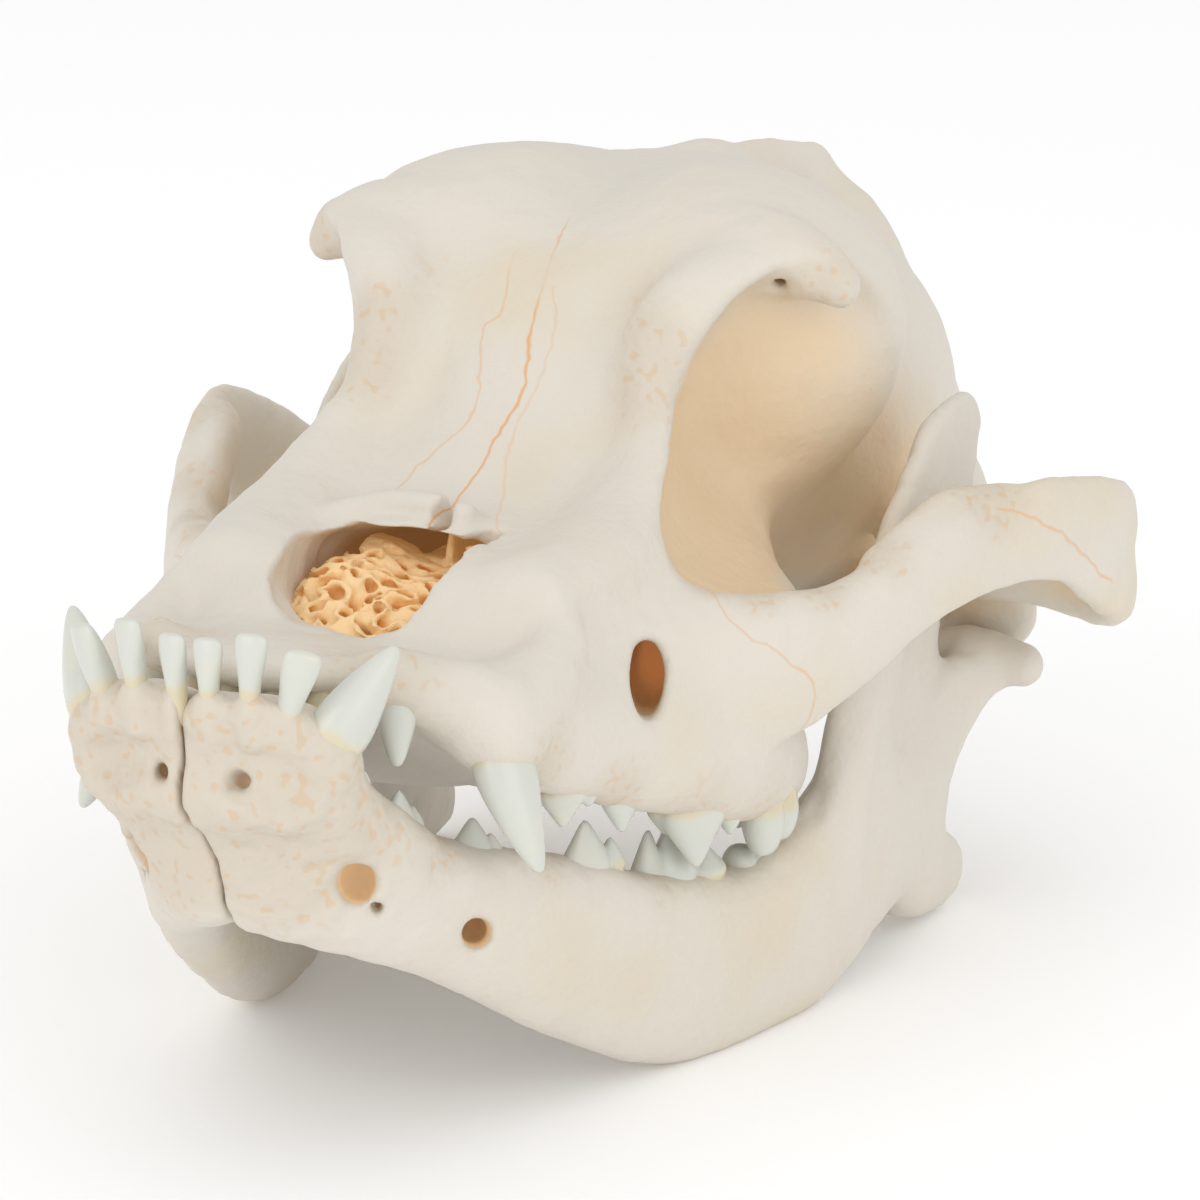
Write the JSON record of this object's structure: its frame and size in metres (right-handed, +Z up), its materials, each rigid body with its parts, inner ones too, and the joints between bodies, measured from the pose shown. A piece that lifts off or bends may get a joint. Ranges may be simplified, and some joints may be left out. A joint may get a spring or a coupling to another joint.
{
  "type": "dog skull",
  "caption": "Boxer dog skull with its lower jaw: short broad face, wide arches, open orbits, underbite and full rows of teeth, standing on the jaw.",
  "frame": {"origin": "centre of the bounding box's bottom, on the surface the jaw stands on", "axes": "+Z up, the face looks along -Y, +X is the skull's left side"},
  "size_m": [0.125, 0.1793, 0.0974],
  "materials": {
    "bone": "dry cleaned bone, satin",
    "teeth": "enamel, slightly translucent"
  },
  "bodies": {
    "root": {"cranium": "bone", "mandible_left": "bone", "mandible_right": "bone", "upper_incisor_1_left": "teeth", "upper_incisor_1_right": "teeth", "upper_incisor_2_left": "teeth", "upper_incisor_2_right": "teeth", "upper_incisor_3_left": "teeth", "upper_incisor_3_right": "teeth", "upper_canine_left": "teeth", "upper_canine_right": "teeth", "upper_premolar_1_left": "teeth", "upper_premolar_1_right": "teeth", "upper_premolar_2_left": "teeth", "upper_premolar_2_right": "teeth", "upper_premolar_3_left": "teeth", "upper_premolar_3_right": "teeth", "upper_premolar_4_left": "teeth", "upper_premolar_4_right": "teeth", "upper_molar_1_left": "teeth", "upper_molar_1_right": "teeth", "upper_molar_2_left": "teeth", "upper_molar_2_right": "teeth", "lower_incisor_1_left": "teeth", "lower_incisor_1_right": "teeth", "lower_incisor_2_left": "teeth", "lower_incisor_2_right": "teeth", "lower_incisor_3_left": "teeth", "lower_incisor_3_right": "teeth", "lower_canine_left": "teeth", "lower_canine_right": "teeth", "lower_premolar_1_left": "teeth", "lower_premolar_1_right": "teeth", "lower_premolar_2_left": "teeth", "lower_premolar_2_right": "teeth", "lower_premolar_3_left": "teeth", "lower_premolar_3_right": "teeth", "lower_premolar_4_left": "teeth", "lower_premolar_4_right": "teeth", "lower_molar_1_left": "teeth", "lower_molar_1_right": "teeth", "lower_molar_2_left": "teeth", "lower_molar_2_right": "teeth", "lower_molar_3_left": "teeth", "lower_molar_3_right": "teeth"}
  },
  "joints": []
}
